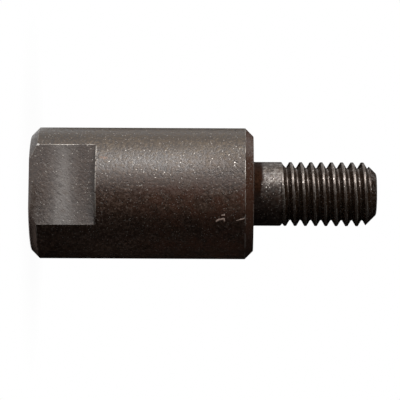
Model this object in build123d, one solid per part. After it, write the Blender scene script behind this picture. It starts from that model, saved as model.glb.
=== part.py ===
from build123d import *
import os
from math import radians, tan

# Round thread adapter turned from one bar of steel: an M8 x 1.25 right-hand
# stud on one end, and on the other two wrench flats round a tapped blind hole.
# Millimetres. Z is the turning axis: z = 0 is the end face between the wrench
# flats, and the stud points up. The flats face -Y and +Y.

# --- Sizes -------------------------------------------------------------------

body_diameter = 16.0
body_length = 27.0
body_chamfer = 1.0  # 45 degrees, at both ends

across_flats = 12.7
flat_length = 8.0  # from the end face to a square shoulder

thread_diameter = 8.0  # M8
blank_undersize = 0.2  # the stud is turned thinner than the thread's full diameter
stud_diameter = thread_diameter - blank_undersize
stud_length = 15.0
shank_length = 3.3  # plain neck between the body and the thread's run-out
shank_fillet = 0.2  # nose radius of the turning tool
tip_chamfer = 1.4  # 45 degrees
tip_radius = 0.4  # where the chamfer meets the end face

pitch = 1.25
flank_angle = 60.0  # between the two flanks of a groove
full_crest_share = 1 / 8  # of the pitch: crest at the thread's full diameter
root_share = 1 / 8  # of the pitch: flat at the bottom of the groove
first_root = 1.2  # from the end of the plain shank to the groove's centre on +X
die_lead = 45.0  # slope of the cone on which the grooves run out
blank_taper = 0.02  # off the radius by the tip, to let the die start

tap_drill_diameter = 6.8  # for M8 x 1.25
tap_drill_depth = 18.0  # to the end of the full bore
drill_point_angle = 118.0
mouth_diameter = 8.6  # 90 degree countersink, just over the thread's 8 mm

# --- Turned blank ------------------------------------------------------------

body_radius = body_diameter / 2
stud_radius = stud_diameter / 2
rim_radius = body_radius - body_chamfer
tip_z = body_length + stud_length
thread_z = body_length + shank_length
chamfer_z = tip_z - tip_chamfer
blank_end_radius = stud_radius - blank_taper

turned_outline = Polyline(
    (0, 0),
    (rim_radius, 0),
    (body_radius, body_chamfer),
    (body_radius, body_length - body_chamfer),
    (rim_radius, body_length),
    (stud_radius, body_length),
    (stud_radius, thread_z),
    (blank_end_radius, chamfer_z),
    (blank_end_radius - tip_chamfer, tip_z),
    (0, tip_z),
    close=True,
)
adapter = revolve(Plane.XZ * make_face(turned_outline), Axis.Z)

circles = adapter.edges().filter_by(GeomType.CIRCLE)
tip_edge = circles.sort_by(Axis.Z)[-1]
adapter = fillet(tip_edge, tip_radius)

circles = adapter.edges().filter_by(GeomType.CIRCLE)
shoulder_edges = circles.filter_by_position(Axis.Z, body_length, body_length)
neck_edge = shoulder_edges.sort_by(SortBy.RADIUS)[0]
adapter = fillet(neck_edge, shank_fillet)

# --- External thread ---------------------------------------------------------

# One V groove follows a helix from inside the shank's end out past the tip. Its
# cross-section stands a little proud of the crests, so that it cuts them clean,
# but stays narrower than the pitch, so that neighbouring turns never touch.
flank_slope = tan(radians(flank_angle / 2))
crest_flat = full_crest_share * pitch + blank_undersize * flank_slope
half_root = root_share * pitch / 2
groove_depth = ((pitch - crest_flat) / 2 - half_root) / flank_slope
root_radius = stud_radius - groove_depth
proud = crest_flat / 4 / flank_slope
half_mouth = half_root + (groove_depth + proud) * flank_slope

start_turns = 2  # wound below the run-out, where nothing is cut
start_z = thread_z + first_root - start_turns * pitch
helix_height = tip_z + pitch - start_z
helix = Pos(0, 0, start_z) * Helix(pitch, helix_height, root_radius)

groove_section = make_face(
    Polyline(
        (root_radius, start_z - half_root),
        (stud_radius + proud, start_z - half_mouth),
        (stud_radius + proud, start_z + half_mouth),
        (root_radius, start_z + half_root),
        close=True,
    )
)
# The section is turned over to face the way the helix sets off.
groove = sweep(-(Plane.XZ * groove_section).face(), path=helix, is_frenet=True)

# The die's lead leaves a cone standing at the shank's end, and the grooves rise
# up it and fade out.
lead_slope = tan(radians(die_lead))
lead_base = stud_radius + 2 * proud
lead_base_z = thread_z - (lead_base - stud_radius) * lead_slope
lead_height = lead_base * lead_slope
uncut_cone = Pos(0, 0, lead_base_z) * Cone(
    lead_base, 0, lead_height, align=(Align.CENTER, Align.CENTER, Align.MIN)
)
uncut_shank = Pos(0, 0, lead_base_z) * Cylinder(
    lead_base, (start_turns + 1) * pitch, align=(Align.CENTER, Align.CENTER, Align.MAX)
)
adapter -= groove - uncut_cone - uncut_shank

# --- Wrench flats ------------------------------------------------------------

for side in (-1, 1):
    milled = Pos(0, side * across_flats / 2, 0) * Box(
        body_diameter,
        body_diameter,
        flat_length,
        align=(Align.CENTER, Align.MAX if side < 0 else Align.MIN, Align.MIN),
    )
    adapter -= milled

# --- Tapped hole -------------------------------------------------------------

bore_radius = tap_drill_diameter / 2
mouth_radius = mouth_diameter / 2
drill_point = bore_radius / tan(radians(drill_point_angle / 2))

drilled_outline = Polyline(
    (0, 0),
    (mouth_radius, 0),
    (bore_radius, mouth_radius - bore_radius),
    (bore_radius, tap_drill_depth),
    (0, tap_drill_depth + drill_point),
    close=True,
)
adapter -= revolve(Plane.XZ * make_face(drilled_outline), Axis.Z)

adapter.label = "thread_adapter"

os.makedirs("parts", exist_ok=True)
export_step(adapter, "parts/thread_adapter.step")
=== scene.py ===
from math import cos, pi, radians, sin, tan

import bmesh
import bpy
import numpy as np
from mathutils import Matrix, Vector


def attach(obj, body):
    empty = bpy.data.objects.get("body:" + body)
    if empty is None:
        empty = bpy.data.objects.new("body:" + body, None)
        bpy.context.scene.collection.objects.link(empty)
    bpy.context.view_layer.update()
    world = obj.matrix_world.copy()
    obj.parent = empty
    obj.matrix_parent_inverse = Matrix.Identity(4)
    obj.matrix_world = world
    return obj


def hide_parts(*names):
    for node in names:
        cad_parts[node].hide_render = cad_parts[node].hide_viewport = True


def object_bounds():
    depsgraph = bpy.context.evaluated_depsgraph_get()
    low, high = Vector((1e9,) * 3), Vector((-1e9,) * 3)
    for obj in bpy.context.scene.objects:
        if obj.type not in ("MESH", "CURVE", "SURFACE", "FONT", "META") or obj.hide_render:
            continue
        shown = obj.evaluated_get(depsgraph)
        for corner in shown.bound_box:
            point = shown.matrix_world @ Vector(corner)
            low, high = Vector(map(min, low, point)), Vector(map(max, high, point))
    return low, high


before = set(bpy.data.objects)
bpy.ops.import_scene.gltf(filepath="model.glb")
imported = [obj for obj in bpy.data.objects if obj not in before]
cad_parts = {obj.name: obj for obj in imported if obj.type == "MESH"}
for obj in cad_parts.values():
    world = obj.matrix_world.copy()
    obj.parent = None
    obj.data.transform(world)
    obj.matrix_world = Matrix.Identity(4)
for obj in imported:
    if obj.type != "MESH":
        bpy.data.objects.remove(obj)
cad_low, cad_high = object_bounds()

# --- Body: the adapter's thick end ------------------------------------------------------
# A 16 mm steel bar turned to length and chamfered at both ends. Two opposite wrench flats
# are milled at the end the part stands on, round the mouth of its tapped hole.

MM = 0.001  # shapes are worked out in millimetres and stored in metres

body_radius = cad_high.x / MM
overall_length = cad_high.z / MM
body_length = 27.0
chamfer = 1.0
half_flats = 12.7 / 2
flat_length = 8.0
edge_break = 0.07  # what handling leaves of the sharp edges
edge_margin = 0.04  # from a worn edge to the next points, so that the surface beside it is plain
cutter_corner = 0.15  # between a flat and its shoulder
shoulder_margins = 0.3, 0.2  # from the shoulder to the plain rows below and above it
end_wear, chamfer_wear = 0.5, 0.7  # how worn the turned edges are, where a flat's are 1
mouth_radius = 4.3
hole_margin = 0.05  # from the hole's mouth, and from its end, to the next points
stud_radius = 3.9
neck_fillet = 0.2
thread_bottom = 29.8  # a little below the thread's run-out

arc_columns = 20  # round each quarter: turned arc, worn edge, then half a flat
break_columns = 4
flat_columns = 16


def slice_with_flats(radius, half_width, corner):
    """Points round a level slice: a circle between two flats. Each corner is an arc about the
    point that lies its radius inside both the flat and the circle, and the points crowd up to
    it. One quarter is worked out, then mirrored and turned."""
    middle_y = half_width - corner
    middle_x = np.sqrt((radius - corner) ** 2 - middle_y**2)
    meet = np.arctan2(middle_y, middle_x)
    turned = meet * np.sin(pi / 2 * np.linspace(0, 1, arc_columns + 1))[:-1]
    worn = meet + (pi / 2 - meet) * np.linspace(0, 1, break_columns + 1)[:-1]
    milled = middle_x * np.cos(pi / 2 * np.linspace(0, 1, flat_columns + 1))
    x = np.hstack([radius * np.cos(turned), middle_x + corner * np.cos(worn), milled])
    straight = half_width + 0 * milled
    y = np.hstack([radius * np.sin(turned), middle_y + corner * np.sin(worn), straight])
    x = np.hstack([x, -x[:, -2:0:-1]])
    y = np.hstack([y, y[:, -2:0:-1]])
    return np.hstack([x, -x]), np.hstack([y, -y])


# Every patch has the columns of the slice at the shoulder. Round the full circle each column
# lies straight out from its flat, at the same x.
flat_x, flat_y = slice_with_flats(np.array([[body_radius]]), np.array([[half_flats]]), edge_break)
around = np.arctan2(np.sign(flat_y) * np.sqrt(np.maximum(body_radius**2 - flat_x**2, 0)), flat_x)
around = np.unwrap(around[0])
quarter_wear = np.zeros(arc_columns + break_columns + flat_columns + 1)
quarter_wear[arc_columns : arc_columns + break_columns + 1] = 1
half_wear = np.hstack([quarter_wear, quarter_wear[-2:0:-1]])
flat_edge_wear = np.hstack([half_wear, half_wear])


def rounded(corners, radii, steps=4):
    """An outline as rows of radius, height and wear: straight runs joined at each corner by an
    arc tangent to both, about the point radius / sin(half the corner) along the line that
    halves it. Wear is 1 on the arcs and 0 on the runs."""
    corners = np.array(corners, float)
    rows = [[[*corners[0], 0]]]
    for before, corner, after, radius in zip(corners, corners[1:], corners[2:], radii):
        back = (before - corner) / np.linalg.norm(before - corner)
        ahead = (after - corner) / np.linalg.norm(after - corner)
        half = np.arccos(back @ ahead) / 2
        middle = corner + (back + ahead) / np.linalg.norm(back + ahead) * radius / np.sin(half)
        start = corner + back * radius / np.tan(half)
        end = corner + ahead * radius / np.tan(half)
        share = np.linspace(0, 1, steps + 1)[:, None]
        arc = start * (1 - share) + end * share - middle
        arc *= radius / np.linalg.norm(arc, axis=1)[:, None]
        rows.append([[*(start + back * edge_margin), 0]])
        rows.append(np.hstack([middle + arc, 1 + 0 * share]))
        rows.append([[*(end + ahead * edge_margin), 0]])
    return np.vstack([*rows, [[*corners[-1], 0]]])


def grid(x, y, height, wear=0, groove=0):
    """A grid of points, each with its place, how worn it is and how deep in a groove it lies."""
    return np.stack(np.broadcast_arrays(x, y, height, wear, groove), axis=2).astype(float)


def ring(radius, height, wear=0):
    """Circles of the given radii and heights: x and y are the radius times the cosine and the
    sine of each column's angle."""
    rows = np.broadcast_arrays(radius, height, wear)
    radius, height, wear = (np.ravel(row)[:, None] for row in rows)
    return grid(radius * np.cos(around), radius * np.sin(around), height, wear)


# The end that is stood on: a flat ring from the hole's mouth out to the chamfer, the chamfer
# and the turned outside up to the flats' shoulder, all cut by the two flats. The flats' own
# edge with the end face is worn too, so the lowest slices are narrower between them.
mouth = ring([mouth_radius, mouth_radius + hole_margin], 0)
end_outline = rounded(
    [
        (mouth_radius, 0),
        (body_radius - chamfer, 0),
        (body_radius, chamfer),
        (body_radius, flat_length - shoulder_margins[0]),
    ],
    [edge_break, edge_break],
)[1:]
below_edge = np.clip(edge_break - end_outline[:, 1], 0, edge_break)
half_widths = half_flats - edge_break + np.sqrt(edge_break**2 - below_edge**2)
half_widths[0] -= edge_margin  # the innermost slice keeps clear of the flats' worn edge too
x, y = slice_with_flats(end_outline[:, :1], half_widths[:, None], edge_break)
turned_wear = end_wear * end_outline[:, 2:] * (abs(flat_y) < half_flats - edge_break)
flatted = grid(x, y, end_outline[:, 1:2], np.maximum(turned_wear, flat_edge_wear))

# The shoulder: from each point of the flatted slice straight out to the circle, with a small
# hollow corner where it leaves the flat and a worn edge where it meets the turned outside.
# Both are quarter circles, and they shrink where the shoulder narrows to nothing.
widest_share = 0.45  # of the shoulder's width
inner = np.stack([flat_x[0], flat_y[0]], axis=1)
outer = body_radius * np.stack([np.cos(around), np.sin(around)], axis=1)
step = np.linalg.norm(outer - inner, axis=1)[:, None]
outward = (outer - inner) / np.maximum(step, 1e-9)
hollow = np.minimum(cutter_corner, widest_share * step)
worn = np.minimum(edge_break, widest_share * step)
turn = np.linspace(0, pi / 2, 5)[:, None, None]
hollow_xy = inner + outward * hollow * (1 - np.cos(turn))
hollow_z = flat_length - hollow * (1 - np.sin(turn))
worn_xy = outer - outward * worn * (1 - np.sin(turn))
worn_z = flat_length + worn * (1 - np.cos(turn))
shoulder_hollow = grid(hollow_xy[..., 0], hollow_xy[..., 1], hollow_z[..., 0])
shoulder_edge = grid(worn_xy[..., 0], worn_xy[..., 1], worn_z[..., 0], (worn / edge_break)[:, 0])

# The rest of the turned body, its chamfer and square face, and the plain neck of the stud. The
# fillet at the neck is not worn.
upper_outline = rounded(
    [
        (body_radius, flat_length + shoulder_margins[1]),
        (body_radius, body_length - chamfer),
        (body_radius - chamfer, body_length),
        (stud_radius, body_length),
        (stud_radius, thread_bottom),
    ],
    [edge_break, edge_break, neck_fillet],
)
upper_outline[:, 2] *= chamfer_wear * (upper_outline[:, 0] > stud_radius + 1)
upper_body = ring(*upper_outline.T)

# --- Stud: the M8 x 1.25 male thread ----------------------------------------------------
# Turned on the same bar and cut with a die, so the grooves run out up a cone against the
# plain neck. The tip has a 45 degree chamfer with a rounded edge.

pitch = 1.25
flank_slope = tan(radians(30))
crest_flat = pitch / 8 + 0.2 * flank_slope  # the blank is 0.2 mm under 8 mm
groove_mouth = (pitch - crest_flat) / 2  # half its width at the crests
groove_depth = (groove_mouth - pitch / 16) / flank_slope
thread_start = 30.3
first_root = thread_start + 1.2
root_round = 0.06
thread_round = 0.05  # everywhere else
crest_wear = 0.035  # half the width of the worn line along the crest
worn_from = thread_start + 0.1
tip_chamfer = 1.4
tip_round = 0.4
tip_start = overall_length - tip_chamfer
male_top = overall_length - 0.6  # the level circle where the band ends on the chamfer


def lower_of(a, b, width):
    """The lower of two values, with a parabola across where they meet."""
    return np.minimum(a, b) - np.maximum(width - abs(a - b), 0) ** 2 / (4 * width)


def higher_of(a, b, width):
    """The higher of two values, with a parabola across where they meet."""
    return -lower_of(-a, -b, width)


def both_flanks(sixteenths):
    """Places across a groove in pitches: its centre, and the given ones on each side of it."""
    return np.hstack([-np.array(sixteenths[::-1]), [0], sixteenths]) / 16


def helical_band(low, high, root_height, places, radius_at):
    """One band, a pitch wide, wound round the axis from below low to above high, and its rows
    to the pitch. A point's height is its groove's height, which climbs a pitch a turn, plus its
    place across the band, held between low and high so that the band starts and ends on level
    circles. Its radius, wear and groove depth are functions of how far it lies from the
    groove's centre and of its height."""
    turns = np.arange((low - root_height) // pitch - 1, (high - root_height) // pitch + 2)
    along = (turns[:, None] + places[:-1]).ravel()[:, None] * pitch
    raw = root_height + along + pitch * around / (2 * pi)
    height = np.clip(raw, low, high)
    from_root = (along + pitch / 2) % pitch - pitch / 2 + 0 * raw
    radius, wear, groove = radius_at(from_root, height)
    band = grid(radius * np.cos(around), radius * np.sin(around), height, wear, groove)
    return band, len(places) - 1


def male_radius(from_root, height):
    """The V groove's flank rises from its flat root at 30 degrees to the square of the axis up
    to the crest; the run-out's cone fills it near the neck and the tip's chamfer cuts it off.
    The crest's edge towards the tip is worn."""
    flank = (abs(from_root) - groove_mouth) / flank_slope
    groove = higher_of(-groove_depth + 0 * flank, flank, root_round)
    groove = higher_of(groove, thread_start - height, thread_round)
    groove = lower_of(groove, 0 * groove, thread_round)
    wear = np.exp(-(((from_root + groove_mouth) / crest_wear) ** 2)) * (height > worn_from)
    radius = lower_of(stud_radius + groove, stud_radius - (height - tip_start), thread_round)
    return radius, wear, -groove / groove_depth


male_places = both_flanks([0.4, 0.9, 1.3, 1.8, 2.5, 3.5, 4.5, 5.3, 5.8, 6.1, 6.4, 6.8, 7.3, 8])
male_thread = helical_band(thread_bottom, male_top, first_root, male_places, male_radius)
tip_outline = rounded(
    [
        (stud_radius - (male_top - tip_start), male_top),
        (stud_radius - tip_chamfer, overall_length),
        (0, overall_length),
    ],
    [tip_round],
    steps=6,
)
tip = ring(*tip_outline.T)

# --- Tapped hole ------------------------------------------------------------------------
# Drilled 6.8 mm, countersunk and tapped M8 x 1.25 from the end between the flats. The drill
# point and a plain stretch of bore are left beyond the thread.

bore_radius = 3.4
tap_radius = 4.0
bore_depth = 18.0
tapped_depth = 14.0
drill_point = bore_radius / tan(radians(59))
female_low = 0.2
female_high = tapped_depth + pitch
female_root = 0.4


def female_radius(from_root, height):
    """A V groove cut outwards from the bore, fading over the last turn, inside the
    countersink's 45 degree cone."""
    depth = (tap_radius - bore_radius) * np.clip((female_high - height) / pitch, 0, 1)
    groove = lower_of(depth - (abs(from_root) - pitch / 16) / flank_slope, depth, thread_round)
    groove = np.maximum(groove, 0)
    radius = np.maximum(bore_radius + groove, mouth_radius - height)
    return radius, 0 * radius, groove / (tap_radius - bore_radius)


female_places = both_flanks([0.6, 1.2, 2, 3, 4, 5, 6, 7, 8])
female_thread = helical_band(female_low, female_high, female_root, female_places, female_radius)
hole_end = ring(
    [bore_radius, bore_radius, bore_radius, 0],
    [female_high, bore_depth - hole_margin, bore_depth, bore_depth + drill_point],
)
countersink_heights = np.array([female_low, 0.03, 0])
hole_mouth = ring(mouth_radius - countersink_heights, countersink_heights)

# --- The adapter's skin -----------------------------------------------------------------
# All of it is one piece of steel, so the patches are sewn into one closed mesh and share one
# finish: black oxide, oiled, with bare steel showing at worn edges and nicks and a little rust.

seam = 0.0004  # points closer than this are one


def sewn(name, patches):
    """One mesh from grids of points: neighbours are joined by four-sided faces, and round the
    back the last column joins the first, some rows further on where a band winds. Points that
    meet are then merged."""
    points, faces = [], []
    count = 0
    for patch, shift in patches:
        rows, columns = patch.shape[:2]
        number = count + np.arange(rows * columns).reshape(rows, columns)
        left, right = number[:, :-1], number[:, 1:]
        faces.append(np.stack([left[:-1], right[:-1], right[1:], left[1:]], axis=2).reshape(-1, 4))
        last, first = number[: rows - shift, -1], number[shift:, 0]
        faces.append(np.stack([last[:-1], first[:-1], first[1:], last[1:]], axis=1))
        points.append(patch.reshape(-1, 5))
        count += rows * columns
    points = np.vstack(points)
    mesh = bpy.data.meshes.new(name)
    mesh.from_pydata(points[:, :3] * MM, [], np.vstack(faces).tolist())
    for column, carried in ((3, "wear"), (4, "groove")):
        values = mesh.attributes.new(carried, "FLOAT", "POINT").data
        values.foreach_set("value", points[:, column])
    work = bmesh.new()
    work.from_mesh(mesh)
    bmesh.ops.remove_doubles(work, verts=work.verts, dist=seam * MM)
    bmesh.ops.recalc_face_normals(work, faces=work.faces)
    work.to_mesh(mesh)
    work.free()
    mesh.shade_smooth()
    piece = bpy.data.objects.new(name, mesh)
    bpy.context.scene.collection.objects.link(piece)
    return piece


body = np.concatenate([mouth, flatted, shoulder_hollow, shoulder_edge, upper_body])
skin = [(hole_end, 0), female_thread, (hole_mouth, 0), (body, 0), male_thread, (tip, 0)]
adapter = sewn("adapter", skin)


class Value:
    """A shader socket on which arithmetic adds the Math nodes."""

    def __init__(self, socket):
        self.socket = socket

    def math(self, operation, *others):
        return node(self.socket.id_data, "Math", {"operation": operation}, keyed(self, *others))

    def __add__(self, other):
        return self.math("ADD", other)

    def __sub__(self, other):
        return self.math("SUBTRACT", other)

    def __rsub__(self, other):
        return node(self.socket.id_data, "Math", {"operation": "SUBTRACT"}, keyed(other, self))

    def __mul__(self, other):
        return self.math("MULTIPLY", other)

    __radd__ = __add__
    __rmul__ = __mul__


def keyed(*values):
    """Values keyed by their place, as a node's sockets are."""
    return dict(enumerate(values))


def node(tree, kind, settings, sockets, output=0):
    """Adds a node: its settings first, then the value or link of each socket; gives an output."""
    made = tree.nodes.new("ShaderNode" + kind)
    for name, setting in settings.items():
        setattr(made, name, setting)
    for key, value in sockets.items():
        if isinstance(value, Value):
            tree.links.new(value.socket, made.inputs[key])
        else:
            made.inputs[key].default_value = value
    return Value(made.outputs[output])


def between(value, low, high):
    """0 below low, 1 above high, and a smooth step from one to the other; the other way round
    where low is above high."""
    settings = {"interpolation_type": "SMOOTHSTEP"}
    sockets = {"Value": value, "From Min": low, "From Max": high}
    return node(value.socket.id_data, "MapRange", settings, sockets)


def stripe(value, low, full_from, full_to, high):
    """1 between the middle two values, falling smoothly to 0 at the outer two."""
    return between(value, low, full_from) * between(value, high, full_to)


def higher(*values):
    """The highest of some masks."""
    first, *others = values
    for other in others:
        first = first.math("MAXIMUM", other)
    return first


def mixed(amount, first, second):
    """The first colour, turning into the second."""
    sockets = {0: amount, 6: first, 7: second}
    return node(amount.socket.id_data, "Mix", {"data_type": "RGBA"}, sockets, 2)


def coated(colour, *coats):
    """A colour with coats laid over it in turn, each of them how much it covers and its colour."""
    for amount, coat in coats:
        colour = mixed(amount, colour, coat)
    return colour


steel = bpy.data.materials.new("black_oxide_steel")
steel.use_nodes = True
tree = steel.node_tree
surface = tree.nodes["Principled BSDF"]


def vector_math(operation, first, second=(0, 0, 0), output="Vector"):
    """Vector arithmetic; length and dot product come out of the Value output."""
    return node(tree, "VectorMath", {"operation": operation}, keyed(first, second), output)


def scaled(vector, factor):
    """A vector times a number."""
    return node(tree, "VectorMath", {"operation": "SCALE"}, {0: vector, "Scale": factor})


def part_of(vector, axis):
    """One coordinate of a vector."""
    return node(tree, "SeparateXYZ", {}, {0: vector}, axis)


def carried_by_mesh(name):
    """What the mesh carries under this name."""
    return node(tree, "Attribute", {"attribute_name": name}, {}, "Fac")


def tinted(amount, colour, tint):
    """The colour, turning into itself times a tint."""
    return mixed(amount, colour, vector_math("MULTIPLY", colour, tint))


in_mm = scaled(node(tree, "TexCoord", {}, {}, "Object"), 1 / MM)


def speckle(scale, detail, stretch=(1, 1, 1), turn=0, shift=(0, 0, 0)):
    """Noise from 0 to 1 with about this many waves to the millimetre, drawn out along each
    axis, then turned about Y by an angle in degrees."""
    sockets = {"Vector": in_mm, "Location": shift, "Rotation": (0, radians(turn), 0)}
    mapped = node(tree, "Mapping", {"vector_type": "TEXTURE"}, {**sockets, "Scale": stretch})
    return node(tree, "TexNoise", {}, {"Vector": mapped, "Scale": scale, "Detail": detail})


def dots(scale, size, share, shift=(0, 0, 0)):
    """Round spots in some of a cell pattern's cells: 1 at a chosen cell's centre."""
    mapped = node(tree, "Mapping", {}, {"Vector": in_mm, "Location": shift})
    cell = {"Vector": mapped, "Scale": scale}
    near = node(tree, "TexVoronoi", {}, cell, "Distance")
    chance = part_of(node(tree, "TexVoronoi", {}, cell, "Color"), 0)
    return between(near, size, size * 0.5) * between(chance, 1 - share, 1.01 - share)


def stroke(start, end, width):
    """A short round-ended line from one place to another: 1 along its middle, by the distance
    to the nearest point of the line."""
    start, end = np.array(start), np.array(end)
    along = end - start
    from_start = vector_math("SUBTRACT", in_mm, tuple(start))
    share = vector_math("DOT_PRODUCT", from_start, tuple(along / (along @ along)), "Value")
    share = share.math("MAXIMUM", 0).math("MINIMUM", 1)
    off = vector_math("SUBTRACT", from_start, scaled(tuple(along), share))
    off = vector_math("LENGTH", off, output="Value")
    return between(off, width / 2, width / 4)


front_turn = 9.2  # degrees from -Y towards +X, to the side of the adapter that faces the camera


def scored(radius, start_angle, start_height, end_angle, end_height, width):
    """A stroke on a turned surface. Angles are in degrees from the side that faces the camera,
    and negative away from the light."""
    places = []
    for angle, z in ((start_angle, start_height), (end_angle, end_height)):
        facing = radians(front_turn - 90 - angle)
        places.append((radius * cos(facing), radius * sin(facing), z))
    return stroke(*places, width)


# Where things are, in millimetres, with edges a few hundredths to a few tenths wide. Across is
# negative on the side towards the light.
across = part_of(in_mm, 0)
height = part_of(in_mm, 2)
wear = carried_by_mesh("wear")
groove = carried_by_mesh("groove")
on_flat = between(part_of(in_mm, 1).math("ABSOLUTE"), half_flats - 0.03, half_flats - 0.01)
on_flat = on_flat * between(height, flat_length, flat_length - 0.05)
on_stud = between(height, body_length + 0.02, body_length + 0.1)
on_thread = between(height, thread_start, thread_start + 0.3)
end_chamfer = between(height, chamfer, chamfer - 0.1) * between(height, 0, 0.05) * (1 - on_flat)
top_chamfer = between(height, body_length - chamfer, body_length - chamfer + 0.1)
top_chamfer = top_chamfer * (1 - on_stud)

# Black oxide in linear colours: grains over slow mottling, with a greenish tint painted on the
# side towards the light.
OXIDE_DARK = (0.036, 0.018, 0.011, 1)
OXIDE = (0.058, 0.031, 0.019, 1)
OXIDE_LIGHT = (0.115, 0.070, 0.049, 1)
# A tint painted on the side towards the light, where the highlight falls.
LIT_SIDE_PAINTED_TINT = (1.08, 1.18, 0.86)

mottle = speckle(0.45, 5)
grain = speckle(3.0, 4, shift=(3, 1, 7))
fine = speckle(6, 3, shift=(5, 2, 1))
colour = mixed(between(mottle * 0.4 + grain * 0.6, 0.40, 0.58), OXIDE_DARK, OXIDE)
colour = mixed(between(grain * 0.5 + fine * 0.5, 0.50, 0.62) * 0.9, colour, OXIDE_LIGHT)
# Painted light: a greenish tint over the side towards the light, but not the flats.
colour = tinted(between(across, 1, -5) * (1 - on_flat), colour, LIT_SIDE_PAINTED_TINT)

# Rust has crept over the body from the stud's end and up the thread, and sits on the top
# chamfer. Beside the flats the body is darker. The end's chamfer has a painted reflection of
# the pale floor on the side away from the light, and is darker on the side towards it.
RUST = (0.072, 0.027, 0.014, 1)
CHAMFER_RUST = (0.055, 0.022, 0.012, 1)
# A painted reflection of the pale floor, on the end chamfer's side away from the light.
CHAMFER_PAINTED_REFLECTION = (0.26, 0.19, 0.16, 1)
CHAMFER_DARK = (0.040, 0.024, 0.017, 1)
DULL = (0.68, 0.64, 0.62)

rust_zone = between(height, 10, 17) * (1 - on_stud) + between(height, 33, 36) * 0.5
rust_zone = rust_zone * between(across, -1.5, 1.5)
rust = between(speckle(0.7, 6, shift=(9, 4, 2)) * 0.7 + fine * 0.3, 0.44, 0.56) * rust_zone
colour = mixed(rust * 0.65, colour, RUST)
colour = tinted(between(height, 9, 5) * (1 - on_flat) * 0.75, colour, DULL)
colour = coated(
    colour,
    # The end chamfer's painted reflection of the floor, then its darker side towards the light.
    (end_chamfer * between(across, 1, 4), CHAMFER_PAINTED_REFLECTION),
    (end_chamfer * between(across, -1, -4) * 0.8, CHAMFER_DARK),
    (top_chamfer * 0.8, CHAMFER_RUST),
)

# The flats are milled: fine slanting cutter marks, light and dark, a few bright scratches, and
# a lighter band across the middle that is a painted reflection. They are darker at the end,
# have painted shade towards the light, and a little painted sheen on the other side.
BARE_STEEL = (0.48, 0.44, 0.40, 1)
MILLED = (0.062, 0.045, 0.036, 1)
# A painted reflection across the middle of the flats.
MILLED_PAINTED_REFLECTION = (0.22, 0.195, 0.18, 1)
MILLED_LIGHT = (0.115, 0.085, 0.068, 1)
MILLED_DARK = (0.034, 0.022, 0.016, 1)
# Painted shade on the flats towards the light, and painted sheen on their other side.
MILLED_PAINTED_SHADE = (0.045, 0.030, 0.022, 1)
MILLED_PAINTED_SHEEN = (0.19, 0.185, 0.18, 1)
MILLED_END = (0.030, 0.018, 0.012, 1)
reflection_band_height = 4.5

milling = speckle(3.0, 4, stretch=(1, 1, 3.5), turn=40)
scratches = speckle(5, 1, stretch=(1, 1, 14), turn=52, shift=(4, 4, 4))
# The band is a painted reflection, brighter on the side away from the light.
from_reflection_band = (height - reflection_band_height + grain * 0.8).math("ABSOLUTE")
band = (between(from_reflection_band, 2.4, 0) * 0.8 + between(from_reflection_band, 1.2, 0) * 0.3) * on_flat
band = band * (0.70 + 0.3 * between(across, -3, 4) + 0.3 * between(milling, 0.42, 0.58))
colour = coated(
    colour,
    (on_flat * 0.35, MILLED),
    (band, MILLED_PAINTED_REFLECTION),
    (on_flat * between(milling, 0.50, 0.66) * 0.6, MILLED_LIGHT),
    (on_flat * between(milling, 0.47, 0.36) * 0.5, MILLED_DARK),
    (on_flat * between(scratches, 0.72, 0.78) * 0.35, BARE_STEEL),
    # Painted shade towards the light, then painted sheen on the other side.
    (on_flat * between(across, -1, -5) * 0.35, MILLED_PAINTED_SHADE),
    (on_flat * between(across, 0, 5) * 0.20, MILLED_PAINTED_SHEEN),
    (on_flat * between(height, 2.4, 0.8) * 0.30, MILLED_END),
)

# Pits, and oil with painted shade. Oil and the shoulder's painted shadow fill the corner at the
# stud's foot up to an uneven edge. Painted shade runs from there up the neck on the side away
# from the light and lies on the neck on both sides of its highlight. Oil lies in the thread,
# thickest on its flanks, with painted shade on the flanks and the lower side, and painted shade
# darkens strips of the body: its top, the stud's end of its highlight and its lower side.
# Black for pits and oil, and for the painted shade and shadow.
OIL_AND_SHADE = (0.009, 0.005, 0.003, 1)
# Oil and the shoulder's painted shadow, in the corner at the stud's foot.
CORNER_OIL_AND_SHADOW = (0.020, 0.009, 0.005, 1)
THREAD_OIL = (0.055, 0.030, 0.016, 1)
oil_and_shade_top = 28.9, 28.3  # where the corner's oil and painted shadow start and where they are full

pits = dots(3.0, 0.30, 0.30, shift=(1, 2, 3)) * (1 - 0.6 * on_flat)
oil_and_shade_edge = height + mottle * 0.6 + grain * 0.4
# The corner at the stud's foot: oil and the shoulder's painted shadow, weaker on the side away
# from the light.
corner = between(oil_and_shade_edge, *oil_and_shade_top) * on_stud * (0.3 + 0.7 * between(across, 3, 0))
# Painted shade running up the neck from the corner, on the side away from the light.
painted_shade_smear = between(oil_and_shade_edge - (across + 1) * 0.75, *oil_and_shade_top) * on_stud * 0.45
flanks = stripe(groove, 0.02, 0.15, 0.90, 0.97)
# Painted shade on the neck on both sides of its highlight.
painted_shade_beside_gleam = higher(stripe(across, -1.7, -0.8, 0, 1.2), between(across, -2.3, -3.2))
# Painted shade on the body: its top, the stud's end of its highlight and its lower side.
painted_shade_film = higher(
    stripe(across, -4.7, -3.0, -2.2, 0.5) * between(height, 15, 27) * 0.75,
    between(across, -4.9, -6.2) * 0.36,
    stripe(across, 2.6, 4.4, 5.2, 6.8) * 0.25,
)
painted_shade_film = painted_shade_film * (1 - top_chamfer) * (1 - on_stud) * (1 - on_flat)
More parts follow.
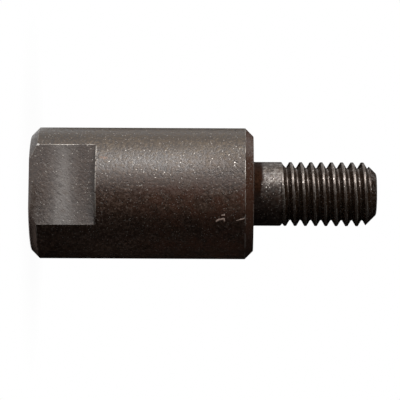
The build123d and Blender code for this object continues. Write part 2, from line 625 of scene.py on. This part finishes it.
# Oil, and the painted shade and shadow above, in one mask.
oil_and_painted_shade = higher(
    corner,
    painted_shade_smear,
    # Painted shade on the thread's flanks, all but the side towards the light.
    flanks * (0.12 + 0.43 * between(across, -3.4, -1.6)),
    # The neck's oil, with painted shade on both sides of its highlight.
    on_stud * (0.28 + 0.38 * painted_shade_beside_gleam),
    # Painted shade on the thread's lower side, away from the light.
    on_thread * between(across, -1, 2) * 0.6,
    on_thread * 0.58,
    # The body's painted shade.
    painted_shade_film * (0.7 + mottle * 0.6),
)
colour = coated(
    colour,
    (pits * 0.7, OIL_AND_SHADE),
    (oil_and_painted_shade, OIL_AND_SHADE),
    # The corner's oil and painted shadow.
    (corner, CORNER_OIL_AND_SHADOW),
    (on_thread * 0.4, THREAD_OIL),
)

# Bare steel: specks, the worn edges of the body, flats and thread, the shoulders' edges that
# spanners rub, scuffs on the neck, the crests and roots that the die rubbed bright, one bright
# corner of a flat and a few nicks. An orange spot of rust sits beside the flat.
NICKED_STEEL = (0.62, 0.46, 0.38, 1)
CORNER_STEEL = (0.70, 0.66, 0.62, 1)
ORANGE_RUST = (0.30, 0.12, 0.045, 1)

specks = higher(
    dots(3.2, 0.24, 0.14),
    dots(5.0, 0.32, 0.22, shift=(5, 5, 5)) * 0.5,
    dots(2.0, 0.15, 0.25, shift=(7, 3, 4)),
    dots(2.6, 0.24, 0.30, shift=(2, 6, 8)) * on_stud,
)
shoulder_rub = wear * between((height - flat_length).math("ABSOLUTE"), 0.25, 0.15)
shoulder_rub = shoulder_rub * between(grain, 0.36, 0.50) * (0.35 + 0.65 * between(across, 3, -1))
worn_edge = wear * between(speckle(0.6, 6, shift=(2, 8, 3)), 0.42, 0.58)
worn_edge = higher(worn_edge, shoulder_rub * 0.8)
scuffs = between(speckle(3.5, 6, stretch=(1, 1, 2), turn=-35, shift=(6, 6, 1)), 0.50, 0.60)
scuffs = scuffs * on_stud * (1 - higher(corner, painted_shade_smear)) * (1 - on_thread)
scuffs = scuffs * (0.3 + 0.7 * stripe(across, -3.9, -2.9, -1.9, -0.2))
root = between(groove, 0.92, 0.98)
rubbed = (between(groove, 0.08, 0) + root * 0.5) * on_thread
neck_nick = scored(stud_radius, 2, 30.55, -24, 30.6, 0.14)
bare = higher(
    specks * (1 - corner),
    worn_edge * 0.85,
    neck_nick * 0.5,
    rubbed * 0.10,
    scuffs * 0.30,
)
nicks = higher(
    scored(body_radius, -24.2, 22.55, -22.9, 22.80, 0.26),
    scored(body_radius, -22.9, 22.80, -22.0, 23.45, 0.28),
    scored(body_radius, -22.0, 23.45, -24.0, 23.52, 0.20),
    scored(body_radius, -18.8, 23.20, -18.6, 23.50, 0.20),
    scored(body_radius, -23.6, 24.95, -22.6, 25.40, 0.13),
    scored(body_radius, -22.6, 25.40, -21.8, 25.85, 0.18),
)
flat_corner = stroke((-4.86, -6.34, 0.88), (-4.86, -6.34, 1.1), 0.36)
orange = scored(body_radius, 32.5, 8.8, 31.5, 9.3, 0.5) * between(fine, 0.4, 0.6)
colour = coated(
    colour,
    (bare, BARE_STEEL),
    (nicks, NICKED_STEEL),
    (flat_corner, CORNER_STEEL),
    (orange * 0.6, ORANGE_RUST),
)

# Grain and cutter marks stand up a few hundredths of a millimetre, pits are sunk, and nicks
# have a burr. The corner at the stud's foot, with its oil and painted shadow, is the roughest,
# the thread the smoothest.
relief_height = 0.04
oxide_roughness = 0.29
oiled_ior = 1.64

relief = grain * 0.9 + fine * 0.4 + milling * 0.3 * on_flat - pits * 0.5 + nicks * 0.8
relief = relief * (1 - on_thread * 0.6)
bump = {"Height": relief, "Strength": 1.0, "Distance": relief_height * MM}
roughness = oxide_roughness + between(grain, 0.36, 0.64) * 0.16 + corner * 0.3
roughness = roughness - on_thread * 0.12 - root * on_thread * 0.10
for name, value in {
    "Base Color": colour,
    "Metallic": higher(bare * 0.85, oil_and_painted_shade * 0.8, corner),
    "Roughness": roughness,
    "Normal": node(tree, "Bump", {}, bump),
}.items():
    tree.links.new(value.socket, surface.inputs[name])
surface.inputs["IOR"].default_value = oiled_ior
adapter.data.materials.append(steel)

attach(adapter, "root")
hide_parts("thread_adapter")

# --- Studio -----------------------------------------------------------------------------
# A pale paper floor and a white surround, a large soft light with a narrower one inside it,
# to one side and a little above, and matt black cards that keep the other side dark.

scene = bpy.context.scene
scene.view_settings.view_transform = "Standard"


def background_share(tree):
    """1 for the rays that show the background: to the camera, in gloss and through glass."""
    rays = "Is Camera Ray", "Is Glossy Ray", "Is Transmission Ray"
    seen, gloss, glass = (node(tree, "LightPath", {}, {}, ray) for ray in rays)
    return node(tree, "Math", {"operation": "ADD", "use_clamp": True}, keyed(seen + gloss, glass))


AMBIENT = (0.10, 0.10, 0.10, 1)
WHITE = (1, 1, 1, 1)
surround = bpy.data.worlds.new("surround")
surround.use_nodes = True
scene.world = surround
air = surround.node_tree
shown = mixed(background_share(air), AMBIENT, WHITE)
air.links.new(shown.socket, air.nodes["Background"].inputs["Color"])

# The paper shows white, a little less beside the adapter, takes its shadow, and is clear from
# below.
PAPER = (0.85, 0.85, 0.85, 1)
near_white = 0.97
paper_fade = 0.008, 0.025  # metres from the adapter's axis

paper = bpy.data.materials.new("paper")
paper.use_nodes = True
sheet = paper.node_tree
sheet.nodes.remove(sheet.nodes["Principled BSDF"])
on_paper = node(sheet, "TexCoord", {}, {}, "Object")
from_axis = node(sheet, "VectorMath", {"operation": "LENGTH"}, {0: on_paper}, "Value")
whiteness = near_white + (1 - near_white) * between(from_axis, *paper_fade)
lit = node(sheet, "BsdfDiffuse", {}, {"Color": PAPER})
white = node(sheet, "Emission", {}, {"Color": WHITE})
upper = node(sheet, "MixShader", {}, keyed(background_share(sheet) * whiteness, lit, white))
from_below = node(sheet, "NewGeometry", {}, {}, "Backfacing")
clear = node(sheet, "BsdfTransparent", {}, {})
both_sides = node(sheet, "MixShader", {}, keyed(from_below, upper, clear))
sheet.links.new(both_sides.socket, sheet.nodes["Material Output"].inputs["Surface"])


def flat_sheet(name, points, faces, material):
    """A sheet of paper or card from its corners, in metres."""
    mesh = bpy.data.meshes.new(name)
    mesh.from_pydata(points, [], faces)
    mesh.materials.append(material)
    piece = bpy.data.objects.new(name, mesh)
    scene.collection.objects.link(piece)
    return piece


reach = 9
floor_points = [(-reach, -reach, 0), (reach, -reach, 0), (reach, reach, 0), (-reach, reach, 0)]
floor = flat_sheet("floor", floor_points, [range(4)], paper)

front = radians(front_turn)
toward_camera = Vector((sin(front), -cos(front), 0))
image_up = Vector((-cos(front), -sin(front), 0))


def around_adapter(angle, distance, height):
    """A place round the adapter, its angle turned from the camera's side towards the light's."""
    level = toward_camera * cos(radians(angle)) + image_up * sin(radians(angle))
    return level * distance + Vector((0, 0, height))


matt_black = bpy.data.materials.new("black_card")
matt_black.use_nodes = True
card_surface = matt_black.node_tree.nodes["Principled BSDF"]
card_surface.inputs["Base Color"].default_value = (0.01, 0.01, 0.01, 1)
card_surface.inputs["Specular IOR Level"].default_value = 0


def black_card(name, points, faces):
    """A matt black sheet that shows only in the adapter's reflections."""
    card = flat_sheet(name, points, faces, matt_black)
    card.visible_camera = card.visible_diffuse = card.visible_shadow = False


# One card lies on the floor from the adapter's foot outwards and stands up at its edge, round
# all sides but the light's; the other is a lid over it.
card_foot, card_edge, card_top = 0.0071, 0.2, 0.25
card_lift = 0.0001
card_rim = [(card_foot, card_lift), (card_edge, card_lift), (card_edge, card_top)]
card_angles = np.linspace(11, -215, 26)
side_points = [around_adapter(angle, *rim) for angle in card_angles for rim in card_rim]
side_faces = [
    (3 * i + j, 3 * i + j + 1, 3 * i + j + 4, 3 * i + j + 3)
    for i in range(len(card_angles) - 1)
    for j in (0, 1)
]
black_card("side_card", side_points, side_faces)
lid_points = [around_adapter(angle, card_edge, card_top) for angle in range(0, 360, 20)]
black_card("lid_card", lid_points, [range(len(lid_points))])


middle_height = 0.02


def soft_light(name, angle, distance, height, size, watts):
    """A rectangular light at a place round the adapter, facing its middle."""
    lamp = bpy.data.lights.new(name, "AREA")
    lamp.shape = "RECTANGLE"
    lamp.size, lamp.size_y = size
    lamp.energy = watts
    holder = bpy.data.objects.new(name, lamp)
    scene.collection.objects.link(holder)
    holder.location = around_adapter(angle, distance, height)
    facing = holder.location - Vector((0, 0, middle_height))
    holder.rotation_euler = facing.to_track_quat("Z", "Y").to_euler()


soft_light("key", 59, distance=0.5, height=0.12, size=(0.38, 0.38), watts=2.55)
soft_light("core", 58, distance=0.5, height=0.12, size=(0.08, 0.30), watts=0.45)

camera_distance = 0.300
camera_height = 0.02319
aim_height = 0.02051
aim_drop = 0.000785
roll = radians(0.29)

camera = bpy.data.objects.new("camera", bpy.data.cameras.new("camera"))
scene.collection.objects.link(camera)
camera.data.lens = 220.85
camera.data.clip_start = 0.01
camera.location = around_adapter(0, camera_distance, camera_height)
aim = Vector((0, 0, aim_height)) - image_up * aim_drop
back = (camera.location - aim).normalized()
right = (Vector((0, 0, 1)) - back * back.z).normalized()
up = back.cross(right)
right, up = right * cos(roll) + up * sin(roll), up * cos(roll) - right * sin(roll)
camera.rotation_euler = Matrix((right, up, back)).transposed().to_euler()
scene.camera = camera
